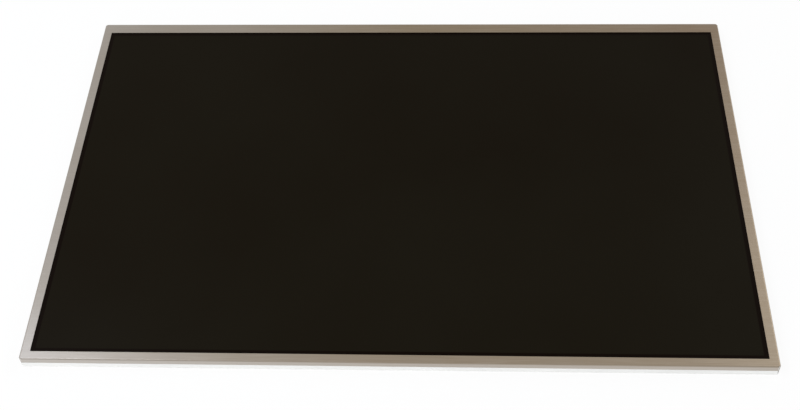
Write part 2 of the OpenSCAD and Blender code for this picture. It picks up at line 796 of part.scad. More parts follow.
// Outer beads round a field, and upright ones that divide it
bead_field = grown([chassis[0], chassis[1], chassis[2], board[1]], -bead_inset);
bead_step = (width(bead_field) - bead_w) / (bead_count + 1);
bead_boxes = concat(
    [
        [bead_field[0], bead_field[1], bead_field[2], bead_field[1] + bead_w],
        [bead_field[0], bead_field[3] - bead_w, bead_field[2], bead_field[3]],
    ],
    [for (i = [0:bead_count + 1])
        [bead_field[0] + i * bead_step, bead_field[1], bead_field[0] + i * bead_step + bead_w, bead_field[3]]]
);

// A tab folded up from the right-hand edge, with a drawn collar to be tapped
module mount_tab() {
    r_out = tab_bend_r + chassis_t;
    fold_x = tab_leaf_x + chassis_t - r_out;
    fold_z = chassis_z + r_out;
    start_x = chassis[2] - eps;
    rotate([90, 0, 0]) translate([0, 0, -tab_w / 2]) linear_extrude(tab_w) {
        translate([start_x, chassis_z]) square([fold_x - start_x, chassis_t]);
        translate([fold_x, fold_z]) quarter(tab_bend_r, r_out, -90);
        translate([tab_leaf_x, fold_z]) square([chassis_t, tab_top_z - fold_z]);
    }
    translate([tab_leaf_x - mount_collar_len, 0, mount_z]) rotate([0, 90, 0])
        cylinder(r = mount_r + mount_collar_t, h = mount_collar_len + eps);
}

module rear_chassis() {
    color(alloy_c) difference() {
        union() {
            plate(chassis, chassis_z, chassis_t);
            for (b = bead_boxes) sloped_block(b, chassis_z + eps, bead_h, bead_run);
            for (y = mount_ys, m = [0, 1]) mirror([m, 0, 0]) translate([0, y, 0]) mount_tab();
            for (x = board_screw_xs) translate([x, board_screw_y, board_face_z])
                cylinder(r = collar_r, h = chassis_z - board_face_z + eps);
        }
        for (b = bead_boxes) sloped_block(b, reflector_z + eps, bead_h, bead_run);
        for (y = mount_ys) side_hole(y, mount_r);
        board_screw_holes(screw_r + thread_play);
        for (p = chassis_screw_places) translate([p[0], p[1], 0]) cylinder(r = screw_r + screw_play, h = panel_t);
        plate(grown_each(tail_box, film_play, film_play, film_play, panel_h), 0, panel_t);
    }
}

module chassis_screws() {
    color(steel_c) for (p = chassis_screw_places)
        translate([p[0], p[1], chassis_z]) mirror([0, 0, 1]) pan_screw(screw_r, screw_len);
}

// Driver board

module board_tape() {
    tape = grown(board, -1);
    color(tape_c) difference() {
        plate(tape, board_z1, board_tape_t);
        board_screw_holes(collar_r + screw_play);
    }
}

module driver_board() {
    color(board_c) difference() {
        plate(board, board_face_z, board_t);
        board_screw_holes(collar_r + screw_play);
    }
}

module board_screws() {
    color(steel_c) for (x = board_screw_xs) on_board(x, board_screw_y) pan_screw(screw_r, board_screw_len);
}

// A film that drops from the chassis over the board and laps onto the frame's rim
module board_cover() {
    slope_near = board[1] - cover_slope;
    shift = cover_t * tan(atan((chassis_z - part_z) / cover_slope) / 2);
    window = [plug_x - plug_w / 2 - 2, cover[1] - eps, plug_x + plug_w / 2 + 2, board[1] + plug_d + 2];
    color(clear_c) difference() {
        along_x(mid_x(cover), width(cover)) polygon([
            [cover[1], chassis_z - cover_t], [cover[1], chassis_z],
            [slope_near, chassis_z], [board[1], part_z],
            [cover[3], part_z], [cover[3], cover_z],
            [board[1] - shift, cover_z], [slope_near - shift, chassis_z - cover_t],
        ]);
        plate(window, 0, panel_t);
    }
}

// Signal connector

module connector_housing() {
    color(tape_c) on_board(plug_x, plug_near_y) difference() {
        translate([-plug_w / 2, 0, 0]) cube([plug_w, plug_d, plug_body_h]);
        for (z = [plug_floor, tongue_z + tongue_t]) translate([-plug_mouth_w / 2, -eps, z])
            cube([plug_mouth_w, plug_mouth_d + eps, (z == plug_floor ? tongue_z - z : plug_h)]);
        for (m = [0, 1]) mirror([m, 0, 0]) translate([plug_mouth_w / 2 - 3 * contact_w, -eps, plug_floor])
            cube([3 * contact_w, plug_mouth_d + eps, plug_h]);
        for (x = contact_xs) translate([x - contact_w / 2, plug_mouth_d - eps, tongue_z + tongue_t])
            cube([contact_w, plug_d, contact_t]);
    }
}

// Pressed steel cover with spring slots, and two legs soldered to the board
module connector_shell() {
    w = plug_w + 2 * shell_t;
    slot_step = plug_w / 5;
    color(steel_c) on_board(plug_x, plug_near_y) difference() {
        union() {
            translate([-w / 2, 0, plug_body_h]) cube([w, plug_d, shell_t]);
            for (m = [0, 1]) mirror([m, 0, 0]) {
                translate([plug_w / 2, 0, plug_floor]) cube([shell_t, plug_d, plug_h - plug_floor]);
                translate([plug_w / 2, plug_d * 0.3, 0]) cube([shell_t, plug_d * 0.4, plug_floor + eps]);
                translate([plug_w / 2, plug_d * 0.3, 0]) cube([0.8, plug_d * 0.4, shell_t]);
            }
        }
        for (x = spread(4, slot_step))
            translate([x - slot_step * 0.3, plug_mouth_d * 0.4, plug_body_h - eps])
                cube([slot_step * 0.6, 0.5, shell_t + 2 * eps]);
    }
}

// Each contact runs from the tongue through the housing's back and down to its solder foot
module connector_contacts() {
    tip_y = plug_mouth_d * 0.2;
    foot_y = plug_d + 6 * contact_t;
    z0 = tongue_z + tongue_t;
    z1 = z0 + contact_t;
    color(gold_c) on_board(plug_x, plug_near_y) for (x = contact_xs) along_x(x, contact_w) polygon([
        [tip_y, z0], [plug_d, z0], [plug_d, 0], [foot_y, 0], [foot_y, contact_t],
        [plug_d + contact_t, contact_t], [plug_d + contact_t, z1], [tip_y, z1],
    ]);
}

// Parts on the board

// Section of a moulded package: straight below the middle and bevelled above it
module package_section(w, h) {
    bevel = 0.12;
    foot = 0.08;
    polygon([
        [-w / 2, foot], [w / 2, foot], [w / 2, h / 2],
        [w / 2 - bevel, h], [bevel - w / 2, h], [-w / 2, h / 2],
    ]);
}

// Moulded package with a round mark in one corner
module package(w, d, h) {
    mark = [0.8 - w / 2, 0.8 - d / 2, h - 0.05];
    difference() {
        intersection() {
            translate([0, d / 2, 0]) rotate([90, 0, 0]) linear_extrude(d) package_section(w, h);
            along_x(0, w) package_section(d, h);
        }
        translate(mark) cylinder(r = 0.3, h = 1);
    }
}

// One row of gull-wing leads along X, whose feet point towards +Y
module leads(n, pitch, y, h) {
    t = 0.12;
    toe_y = y + 0.55;
    z1 = h * 0.45;
    for (x = spread(n, pitch)) along_x(x, pitch * 0.45) polygon([
        [y - t, z1], [y + t, z1], [y + t, t], [toe_y, t], [toe_y, 0],
        [y, 0], [y, z1 - t], [y - t, z1 - t],
    ]);
}

// Leads along both long sides of a package
module two_rows(n, pitch, y, h) {
    for (a = [0, 180]) rotate(a) leads(n, pitch, y, h);
}

module timing_controller() {
    pitch = 0.5;
    n = floor(controller_w / pitch) - 3;
    color(chip_c) on_board(controller_x, board_mid_y) {
        package(controller_w, controller_w, chip_h);
        for (a = [0, 90]) rotate(a) two_rows(n, pitch, controller_w / 2, chip_h);
    }
}

module memory_chip() {
    w = 4.9;
    d = 3.9;
    color(chip_c) on_board(memory_x, board_mid_y) {
        package(w, d, chip_h);
        two_rows(4, 1.27, d / 2, chip_h);
    }
}

module gamma_buffer() {
    color(chip_c) on_board(gamma_x, board_mid_y) {
        package(gamma_size[0], gamma_size[1], chip_h);
        two_rows(10, 0.65, gamma_size[1] / 2, chip_h);
    }
}

// A flat package without leads, on short pads round its edge
module led_driver() {
    color(chip_c) on_board(led_driver_x, board_mid_y) {
        package(led_driver_w, led_driver_w, chip_h);
        for (a = [0:90:270]) rotate(a) for (x = spread(6, 0.5))
            translate([x - 0.12, led_driver_w / 2 - 0.4, 0]) cube([0.24, 0.45, 0.2]);
    }
}

// Ferrite square with a round winding window, on two solder ends
module power_inductor(i) {
    w = inductor_w;
    color(chip_c) on_board(inductor_xs[i], board_mid_y) difference() {
        union() {
            rounded_plate([-w / 2, -w / 2, w / 2, w / 2], 0.6, 0.1, inductor_h - 0.1);
            for (m = [0, 1]) mirror([m, 0, 0]) translate([w / 2 - 1, -w * 0.35, 0])
                cube([1.05, w * 0.7, 0.25]);
        }
        translate([0, 0, inductor_h - 0.12]) difference() {
            cylinder(r = w * 0.42, h = 1);
            cylinder(r = w * 0.34, h = 1);
        }
    }
}

// Ceramic body between two metal ends
module chip_part(len, h) {
    w = len / 2;
    end = len * 0.22;
    skin = 0.02;
    translate([-len / 2, skin - w / 2, skin]) cube([len, w - 2 * skin, h - 2 * skin]);
    for (m = [0, 1]) mirror([m, 0, 0]) translate([len / 2 - end, -w / 2, 0]) cube([end, w, h]);
}

module board_capacitors() {
    color(gold_c) for (p = capacitors) on_board(p[0], p[1]) chip_part(capacitor_len, capacitor_len * 0.4);
}

module board_resistors() {
    color(chip_c) for (p = resistors) on_board(p[0], p[1]) chip_part(resistor_len, resistor_len * 0.35);
}

// The tail's connector: a slot for the flex and a locking bar on top
module light_bar_connector() {
    slot_z = board_face_z - tail_rear_z - flex_t;
    color(white_c) on_board(tail_x, light_plug_far_y - light_plug_d) difference() {
        translate([-light_plug_w / 2, 0, 0]) cube([light_plug_w, light_plug_d, light_plug_h]);
        translate([-tail_w / 2, light_plug_d - light_plug_grip, slot_z])
            cube([tail_w, light_plug_grip + eps, flex_t]);
        translate([-tail_w / 2 - 0.6, light_plug_d * 0.4, light_plug_h - 0.08])
            cube([tail_w + 1.2, light_plug_d, 0.08 + eps]);
    }
}

front_bezel();
bezel_gasket();
front_polariser();
colour_filter_glass();
cell_seal();
array_glass();
rear_polariser();
gate_driver(0);  // gate_driver_1
gate_driver(1);  // gate_driver_2
gate_driver(2);  // gate_driver_3
source_film(0);  // source_film_1
source_film(1);  // source_film_2
source_film(2);  // source_film_3
source_film(3);  // source_film_4
source_driver(0);  // source_driver_1
source_driver(1);  // source_driver_2
source_driver(2);  // source_driver_3
source_driver(3);  // source_driver_4
mould_frame();
cell_tape();
upper_diffuser();
upper_prism_film();
lower_prism_film();
lower_diffuser();
light_guide();
reflector();
light_bar_flex();
light_bar_tape();
light_bar_diodes();
guide_pad(0);  // guide_pad_1
guide_pad(1);  // guide_pad_2
guide_pad(2);  // guide_pad_3
guide_pad(3);  // guide_pad_4
rear_chassis();
chassis_screws();
board_tape();
driver_board();
board_screws();
board_cover();
connector_housing();
connector_shell();
connector_contacts();
timing_controller();
led_driver();
gamma_buffer();
memory_chip();
power_inductor(0);  // power_inductor_1
power_inductor(1);  // power_inductor_2
board_capacitors();
board_resistors();
light_bar_connector();
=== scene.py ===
from collections import namedtuple
import json
import math

import bmesh
import bpy
from mathutils import Matrix, Vector


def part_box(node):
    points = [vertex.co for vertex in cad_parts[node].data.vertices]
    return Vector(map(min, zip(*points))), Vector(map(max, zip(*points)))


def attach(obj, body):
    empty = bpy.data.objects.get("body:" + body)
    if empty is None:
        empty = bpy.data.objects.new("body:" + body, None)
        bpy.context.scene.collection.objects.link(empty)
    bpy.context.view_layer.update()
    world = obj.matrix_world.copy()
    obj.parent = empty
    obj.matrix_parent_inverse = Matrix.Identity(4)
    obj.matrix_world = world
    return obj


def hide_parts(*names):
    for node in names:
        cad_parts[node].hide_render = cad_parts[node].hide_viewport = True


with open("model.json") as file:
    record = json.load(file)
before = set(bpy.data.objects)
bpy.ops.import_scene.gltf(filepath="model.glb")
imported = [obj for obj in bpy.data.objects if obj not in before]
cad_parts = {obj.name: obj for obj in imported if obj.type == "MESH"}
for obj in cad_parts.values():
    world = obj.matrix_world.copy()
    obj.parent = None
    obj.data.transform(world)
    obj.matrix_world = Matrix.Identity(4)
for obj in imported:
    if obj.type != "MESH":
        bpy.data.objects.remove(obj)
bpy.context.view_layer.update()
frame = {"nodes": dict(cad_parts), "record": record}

MM = 0.001

# Places taken from the frame
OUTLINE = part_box("front_bezel")
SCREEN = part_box("front_polariser")
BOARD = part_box("driver_board")
FRONT_Z = OUTLINE[1].z
# Just under the panel, so that the two don't share a plane
FLOOR_Z = -0.05 * MM
FLOOR_HALF = 3.0
# Outside radius of the bezel's folds
BEND_R = 0.6 * MM
# The picture ends this far inside the polariser's edge, over a short soft step
POLARISER_BORDER = 2.7 * MM
PICTURE_STEP = 0.25 * MM

# The camera, found from the panel's edges in the photograph
AZIMUTH = math.radians(4.13)
ELEVATION = math.radians(51.12)
ROLL = math.radians(-2.92)
AIM = Vector((-0.46 * MM, -19.65 * MM, FRONT_Z))
DISTANCE = 614 * MM
LENS_MM = 55.67
SENSOR_MM = 36
CLIP_START = 0.01


def middle(node):
    """A node's middle in the board's plane, in millimetres."""
    low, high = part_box(node)
    return (low.x + high.x) / 2 / MM, (low.y + high.y) / 2 / MM


# Materials

# Sockets of the Mix node when it mixes colours
MIX_FACTOR, MIX_A, MIX_B, MIX_RESULT = 0, 6, 7, 2

# The bezel's steel from left to right, at the near and at the far edge, with painted light and
# shade: lighter towards the left and the near edge
NEAR_STEEL_WITH_PAINTED_LIGHT = ((0.325, 0.292, 0.262), (0.250, 0.198, 0.142), (0.255, 0.204, 0.148))
FAR_STEEL_WITH_PAINTED_SHADE = ((0.335, 0.305, 0.275), (0.215, 0.165, 0.108), (0.195, 0.143, 0.098))


def opaque(colour):
    """A colour with full alpha; a socket comes back as it is."""
    return (*colour, 1) if isinstance(colour, tuple) else colour


class Shader:
    """A material with one Principled shader, and short calls that add nodes to it."""

    def __init__(self, name, colour, roughness, metallic=0.0, specular=0.5):
        """The plain values stand for the surface where a viewer reads no nodes."""
        self.material = bpy.data.materials.new(name)
        self.material.use_nodes = True
        self.nodes = self.material.node_tree.nodes
        self.links = self.material.node_tree.links
        self.bsdf = self.nodes["Principled BSDF"]
        self.set("Base Color", opaque(colour))
        self.set("Roughness", roughness)
        self.set("Metallic", metallic)
        self.set("Specular IOR Level", specular)
        self.place = self.add("ShaderNodeTexCoord").outputs["Object"]

    def feed(self, socket, value):
        """Links a socket to another one, or writes a plain value on it."""
        if isinstance(value, bpy.types.NodeSocket):
            self.links.new(value, socket)
        else:
            socket.default_value = value

    def set(self, key, value):
        """Feeds one of the Principled shader's own sockets."""
        self.feed(self.bsdf.inputs[key], value)

    def add(self, kind, inputs=None, **settings):
        """Adds a node with its settings and inputs."""
        node = self.nodes.new(kind)
        for key, value in settings.items():
            setattr(node, key, value)
        for key, value in (inputs or {}).items():
            self.feed(node.inputs[key], value)
        return node

    def axis(self, name):
        """One of the object's coordinates, in metres."""
        return self.add("ShaderNodeSeparateXYZ", {"Vector": self.place}).outputs[name]

    def stretched(self, sx, sy, sz):
        """The object's coordinates, scaled along each axis."""
        inputs = {"Vector": self.place, "Scale": (sx, sy, sz)}
        return self.add("ShaderNodeMapping", inputs).outputs["Vector"]

    def noise(self, scale, detail=3.0, vector=None):
        """Smooth noise from 0 to 1, with about this many lumps to each unit of its coordinates."""
        inputs = {"Vector": vector or self.place, "Scale": scale, "Detail": detail}
        return self.add("ShaderNodeTexNoise", inputs).outputs["Fac"]

    def ramp(self, fac, *stops):
        """Colours at positions; a stop is (position, colour)."""
        node = self.add("ShaderNodeValToRGB", {"Fac": fac})
        elements = node.color_ramp.elements
        for i, (position, colour) in enumerate(stops):
            element = elements[i] if i < 2 else elements.new(position)
            element.position = position
            element.color = opaque(colour)
        return node.outputs["Color"]

    def span(self, fac, low, high, from_low=0.0, from_high=1.0):
        """A number brought from one range into another, clamped."""
        inputs = {"Value": fac, "From Min": from_low, "From Max": from_high}
        inputs |= {"To Min": low, "To Max": high}
        return self.add("ShaderNodeMapRange", inputs).outputs["Result"]

    def maths(self, operation, a, b=0.0, c=0.0):
        """A Math node; an operation takes as many of the three values as it needs."""
        node = self.add("ShaderNodeMath", operation=operation)
        for socket, value in zip(node.inputs, (a, b, c)):
            self.feed(socket, value)
        return node.outputs[0]

    def mix(self, fac, a, b):
        """From colour a to colour b as fac goes from 0 to 1."""
        node = self.add("ShaderNodeMix", data_type="RGBA")
        for index, value in ((MIX_FACTOR, fac), (MIX_A, opaque(a)), (MIX_B, opaque(b))):
            self.feed(node.inputs[index], value)
        return node.outputs[MIX_RESULT]

    def vary_gloss(self, scale, roughness, share):
        """Roughness that wanders by a share of itself either way."""
        low, high = roughness * (1 - share), min(1.0, roughness * (1 + share))
        self.set("Roughness", self.span(self.noise(scale), low, high))

    def bump(self, height, distance, strength=1.0):
        """Small relief from a height map that goes from 0 to 1."""
        inputs = {"Height": height, "Distance": distance, "Strength": strength}
        self.set("Normal", self.add("ShaderNodeBump", inputs).outputs["Normal"])


def flange_colour(s, across, grain):
    """The flange's steel, with faint clouds and fine lines, and with painted light and shade:
    lighter towards the left and the near edge.
    """
    half_depth = OUTLINE[1].y
    upward = s.span(s.axis("Y"), 0, 1, -half_depth, half_depth)
    # Painted light and shade: lighter at the near edge and towards the left, darker at the far edge
    near = s.ramp(across, *zip((0.0, 0.5, 1.0), NEAR_STEEL_WITH_PAINTED_LIGHT))
    far = s.ramp(across, *zip((0.0, 0.5, 1.0), FAR_STEEL_WITH_PAINTED_SHADE))
    cloud = s.span(s.noise(18, 4), 0.0, 0.35, 0.35, 0.7)
    colour = s.mix(cloud, s.mix(upward, near, far), (0.245, 0.205, 0.155))
    return s.mix(s.span(grain, 0.0, 0.14, 0.45, 0.6), colour, (0.52, 0.48, 0.42))


def wall_colour(s, across):
    """Steel with a painted highlight over the fold and down the walls, strongest at the left; its
    lines run along X, and so down the side walls.
    """
    # Painted highlight: the fold and wall colour, lighter than the flange and most of all at the
    # left
    painted_fold_highlight = s.ramp(across, (0.0, (0.63, 0.59, 0.55)), (0.5, (0.54, 0.49, 0.44)))
    side_from = OUTLINE[1].x - BEND_R / 2
    on_side = s.maths("GREATER_THAN", s.maths("ABSOLUTE", s.axis("X")), side_from)
    level = s.noise(1, 3, s.stretched(22, 22, 2600))
    upright = s.noise(1, 3, s.stretched(22, 2600, 22))
    lines = s.maths("MULTIPLY_ADD", on_side, s.maths("SUBTRACT", upright, level), level)
    return s.mix(s.span(lines, 0, 0.26, 0.42, 0.66), painted_fold_highlight, (0.36, 0.32, 0.28))


def bezel_steel():
    """Satin steel sheet with a warm cast: rolling lines, faint cloudiness and handling marks, with
    painted light and shade across the flange and a painted highlight over the folds and walls.
    """
    s = Shader("bezel_steel", (0.29, 0.24, 0.185), 0.4, metallic=1.0)
    half_width = OUTLINE[1].x
    across = s.span(s.axis("X"), 0, 1, -half_width, half_width)
    grain = s.noise(1, 2, s.stretched(60, 9000, 9000))
    # Where the painted fold highlight covers the walls, at 0.8 below the fold
    fold = s.span(s.axis("Z"), 0.8, 0, FRONT_Z - BEND_R, FRONT_Z - 0.05 * BEND_R)
    s.set("Base Color", s.mix(fold, flange_colour(s, across, grain), wall_colour(s, across)))
    smear = s.noise(55, 5, s.stretched(1, 1.6, 1))
    s.set("Roughness", s.maths("ADD", s.span(smear, 0.26, 0.36), s.span(grain, -0.03, 0.03)))
    s.bump(grain, 0.004 * MM, 0.5)
    return s.material


def picture_area(s):
    """1 on the picture and 0 on the black margin round it."""
    area = 1.0
    for name, low, high in zip("XY", *SCREEN):
        place = s.axis(name)
        first, last = low + POLARISER_BORDER, high - POLARISER_BORDER
        area = s.maths("MULTIPLY", area, s.span(place, 0, 1, first, first + PICTURE_STEP))
        area = s.maths("MULTIPLY", area, s.span(place, 1, 0, last - PICTURE_STEP, last))
    return area


def screen_film():
    """Anti-glare polariser over an unlit cell: nearly black, darker outside the picture, and with
    painted light that makes the picture lighter towards the near edge.
    """
    s = Shader("screen_film", (0.006, 0.004, 0.002), 0.33, specular=0.03)
    mottle = s.noise(9, 3)
    # Painted light: the picture lighter towards the near edge than at the far edge
    near = s.ramp(mottle, (0.3, (0.0073, 0.0052, 0.0023)), (0.7, (0.0086, 0.0067, 0.0034)))
    far = s.ramp(mottle, (0.3, (0.0055, 0.0034, 0.0009)), (0.7, (0.0069, 0.0050, 0.0020)))
    picture = s.mix(s.span(s.axis("Y"), 0, 1, SCREEN[0].y, SCREEN[1].y), near, far)
    s.set("Base Color", s.mix(picture_area(s), (0.0036, 0.0013, 0.0002), picture))
    s.set("Roughness", s.span(s.noise(40, 4), 0.30, 0.38))
    s.bump(s.noise(2600, 2), 0.01 * MM, 0.35)
    return s.material


def frame_plastic():
    """Matt white moulding with a fine spark-eroded texture."""
    s = Shader("frame_plastic", (0.84, 0.84, 0.81), 0.5, specular=0.4)
    tone = s.ramp(s.noise(35, 3), (0.3, (0.85, 0.85, 0.83)), (0.7, (0.89, 0.89, 0.87)))
    s.set("Base Color", tone)
    s.set("Roughness", s.span(s.noise(300, 2), 0.42, 0.6))
    s.bump(s.noise(2200, 3), 0.02 * MM, 0.5)
    return s.material


def plain(name, colour, roughness, metallic=0.0, specular=0.5, grain=900.0, vary=0.12, bump=0.01):
    """A material with a little variation in colour, gloss and surface; bump is in millimetres."""
    s = Shader(name, colour, roughness, metallic, specular)
    dark = tuple(c * (1 - vary) for c in colour)
    light = tuple(min(1.0, c * (1 + vary)) for c in colour)
    s.set("Base Color", s.ramp(s.noise(grain / 12, 3), (0.3, dark), (0.7, light)))
    s.vary_gloss(grain / 4, roughness, 0.15)
    s.bump(s.noise(grain, 2), bump * MM, 0.5)
    return s.material


def chassis_alloy():
    """Rolled aluminium: fine lines along the panel, with slight scuffs."""
    s = Shader("chassis_alloy", (0.42, 0.43, 0.44), 0.4, metallic=1.0)
    lines = s.noise(1, 3, s.stretched(22, 3600, 0))
    broad = s.noise(1, 2, s.stretched(6, 500, 0))
    cloud = s.noise(11, 4)
    colour = s.ramp(cloud, (0.35, (0.37, 0.38, 0.39)), (0.65, (0.46, 0.465, 0.47)))
    colour = s.mix(s.span(broad, 0, 0.28, 0.4, 0.65), colour, (0.52, 0.525, 0.53))
    colour = s.mix(s.span(lines, 0, 0.35, 0.42, 0.62), colour, (0.60, 0.60, 0.60))
    s.set("Base Color", colour)
    s.set("Roughness", s.maths("ADD", s.span(cloud, 0.36, 0.46), s.span(lines, -0.05, 0.05)))
    s.bump(lines, 0.006 * MM, 0.4)
    return s.material


def board_mask(name, dark, light):
    """Green solder mask with the glass weave of the laminate just showing through."""
    s = Shader(name, light, 0.3, specular=0.2)
    thread = 0.55 * MM
    warp = s.maths("SINE", s.maths("MULTIPLY", s.axis("X"), 2 * math.pi / thread))
    weft = s.maths("SINE", s.maths("MULTIPLY", s.axis("Y"), 2 * math.pi / thread))
    weave = s.span(s.maths("MULTIPLY", warp, weft), 0, 1, -1, 1)
    cloud = s.noise(45, 3)
    tint = s.maths("ADD", s.maths("MULTIPLY", weave, 0.35), s.maths("MULTIPLY", cloud, 0.65))
    s.set("Base Color", s.ramp(tint, (0.25, dark), (0.75, light)))
    s.set("Roughness", s.span(s.noise(250, 3), 0.24, 0.36))
    s.bump(weave, 0.004 * MM, 0.4)
    return s.material


def flex_film():
    """Amber polyimide with copper leads along the film."""
    s = Shader("flex_film", (0.45, 0.20, 0.035), 0.25, specular=0.3)
    lead_pitch = 0.4 * MM
    phase = s.maths("FRACT", s.maths("DIVIDE", s.axis("X"), lead_pitch))
    lead = s.maths("MULTIPLY", s.span(phase, 0, 1, 0.22, 0.30), s.span(phase, 1, 0, 0.70, 0.78))
    base = s.ramp(s.noise(120, 2), (0.3, (0.40, 0.155, 0.015)), (0.7, (0.54, 0.24, 0.03)))
    s.set("Base Color", s.mix(lead, base, (0.66, 0.36, 0.11)))
    s.set("Roughness", s.span(lead, 0.20, 0.32))
    s.bump(lead, 0.01 * MM, 0.6)
    return s.material


def chip_package(node, half_x, half_y):
    """Moulded black resin; what stands out past its body's half width or depth is a tinned lead."""
    s = Shader(node, (0.013, 0.013, 0.014), 0.5, specular=0.2)
    margin = 0.01
    lead = 0.0
    for name, centre, half in zip("XY", middle(node), (half_x, half_y)):
        away = s.maths("ABSOLUTE", s.maths("SUBTRACT", s.axis(name), centre * MM))
        lead = s.maths("MAXIMUM", lead, s.maths("GREATER_THAN", away, (half + margin) * MM))
    resin = s.ramp(s.noise(400, 3), (0.3, (0.011, 0.011, 0.012)), (0.7, (0.016, 0.016, 0.017)))
    gloss = s.span(s.noise(900, 2), -0.06, 0.06)
    s.set("Base Color", s.mix(lead, resin, (0.52, 0.52, 0.53)))
    s.set("Metallic", lead)
    s.set("Roughness", s.maths("ADD", s.span(lead, 0.5, 0.38), gloss))
    s.bump(s.noise(3000, 2), 0.004 * MM, 0.5)
    return s.material


def clear_sheet(name, colour, roughness, alpha, specular=0.35):
    """A thin clear or smoky sheet, with slight waves."""
    s = Shader(name, colour, roughness, specular=specular)
    s.set("Alpha", alpha)
    s.vary_gloss(90, roughness, 0.3)
    s.bump(s.noise(14, 4), 0.25 * MM, 0.15)
    return s.material


def clear_block(name, colour, roughness, transmission):
    """Clear glass or plastic with some thickness."""
    s = Shader(name, colour, roughness)
    s.set("Transmission Weight", transmission)
    s.set("IOR", 1.49)
    s.vary_gloss(90, roughness, 0.3)
    return s.material


# One material for each slot of the record
MATERIALS = {
    "bezel_steel": bezel_steel(),
    "screen": screen_film(),
    "cell_glass": clear_block("cell_glass", (0.10, 0.14, 0.12), 0.08, 0.6),
    "seal": plain("seal", (0.55, 0.52, 0.42), 0.35),
    "frame_white": frame_plastic(),
    "film_clear": clear_sheet("film_clear", (0.80, 0.84, 0.86), 0.25, 0.6),
    "film_white": plain("film_white", (0.82, 0.82, 0.80), 0.6, vary=0.03),
    "guide_clear": clear_block("guide_clear", (0.82, 0.90, 0.92), 0.06, 0.8),
    "reflector_white": plain("reflector_white", (0.86, 0.86, 0.85), 0.3, vary=0.02),
    "tape_black": plain("tape_black", (0.012, 0.012, 0.012), 0.55, specular=0.2),
    "foam": plain("foam", (0.014, 0.014, 0.014), 0.9, specular=0.15, grain=2500, bump=0.05),
    "flex_amber": flex_film(),
    "diode": plain("diode", (0.80, 0.77, 0.55), 0.4, vary=0.05),
    "chassis_alloy": chassis_alloy(),
    "screw_steel": plain("screw_steel", (0.50, 0.50, 0.51), 0.3, metallic=1.0),
    "board_green": board_mask("board_green", (0.006, 0.052, 0.022), (0.011, 0.078, 0.034)),
    "chip_black": plain(
        "chip_black", (0.013, 0.013, 0.014), 0.5, specular=0.2, grain=3000, bump=0.004),
    "ferrite": plain("ferrite", (0.040, 0.040, 0.043), 0.6, specular=0.2, grain=2000, bump=0.01),
    "cover_clear": clear_sheet("cover_clear", (0.50, 0.53, 0.56), 0.14, 0.10, specular=0.5),
    "socket_black": plain("socket_black", (0.02, 0.02, 0.02), 0.45, specular=0.25),
    "contact_gold": plain("contact_gold", (0.72, 0.47, 0.15), 0.25, metallic=1.0, vary=0.05),
    "capacitor_tan": plain("capacitor_tan", (0.36, 0.21, 0.10), 0.45, specular=0.25),
    "resistor_black": plain("resistor_black", (0.02, 0.02, 0.024), 0.4, specular=0.25),
    "plug_white": plain("plug_white", (0.72, 0.68, 0.56), 0.45),
}

# Chips whose leads show, with half the width and depth of their bodies in millimetres
CHIP_BODIES = {
    "timing_controller": (5, 5),
    "memory_chip": (2.45, 1.95),
    "gamma_buffer": (3.25, 2.2),
    "led_driver": (2, 2),
}


def dress_nodes():
    """Gives every CAD node the material of its slot in the record, and the chips their own."""
    for part in frame["record"]["subparts"]:
        name = part["node"]
        own = chip_package(name, *CHIP_BODIES[name]) if name in CHIP_BODIES else None
        node = frame["nodes"][name]
        node.data.materials.clear()
        node.data.materials.append(own or MATERIALS[part["material_slot"]])


# What is drawn and soldered on the driver board's face.
# A length below is in millimetres, unless it is multiplied by MM or is the frame's own.

BOARD_FACE = BOARD[0].z
BOARD_LEFT, BOARD_LOW = BOARD[0].x / MM, BOARD[0].y / MM
BOARD_RIGHT, BOARD_HIGH = BOARD[1].x / MM, BOARD[1].y / MM
TRACE_PROUD = 0.025 * MM
VIA_PROUD = 1.3 * TRACE_PROUD
# How far a piece reaches into what carries it
SINK = 0.005 * MM
# How far the cover film keeps from what it is glued to
FILM_GAP = 0.01 * MM
# Corners nearer than this are one
SAME_PLACE = 0.0001 * MM

TRACE_W = 0.17
TRACE_PITCH = 0.36
DATA_W = 0.14
WIDE_W = 0.4
# The lines of a run side by side: their count, width and pitch
DATA_LINES = (6, TRACE_W, TRACE_PITCH)
EDGE_LINES = (4, TRACE_W, 0.3)
GREY_LINES = (5, TRACE_W, TRACE_PITCH)
LIGHT_LINES = (6, WIDE_W, 0.6)
Run = namedtuple("Run", "path count width pitch")

# Where the films are bonded to the board
BOND_Y = BOARD_HIGH - 1.85
# A lane runs beside the films' capacitors, and two lie between the ground line and the screws
FILM_LANE = BOARD_HIGH - 5.2
LOW_LANES = (BOARD_LOW + 2.75, BOARD_LOW + 1.45)
# From a film's middle to the way between its capacitors
FILM_WAY = 5.4
# How much of a corner is cut off where a run turns into a film, and at the lanes' other corners
FILM_TURN = 1.8
LANE_TURN = 2
# From the middle of the timing controller, or of the light bar's plug, to where lines meet it
CONTROLLER_REACH = 5.4
PLUG_REACH = 5.4
# How far a line reaches under the part that it meets
UNDER = 0.1
# The ground line's distance from the board's edge
GROUND_EDGE = 0.45
# Half of the copper round an inductor, from the inductor's middle; the other half mirrors it
POWER_AREA = ((0.35, -2.9), (5.6, -2.9), (6.8, -1.7), (6.8, 1.5), (5.4, 2.9), (0.35, 2.9))

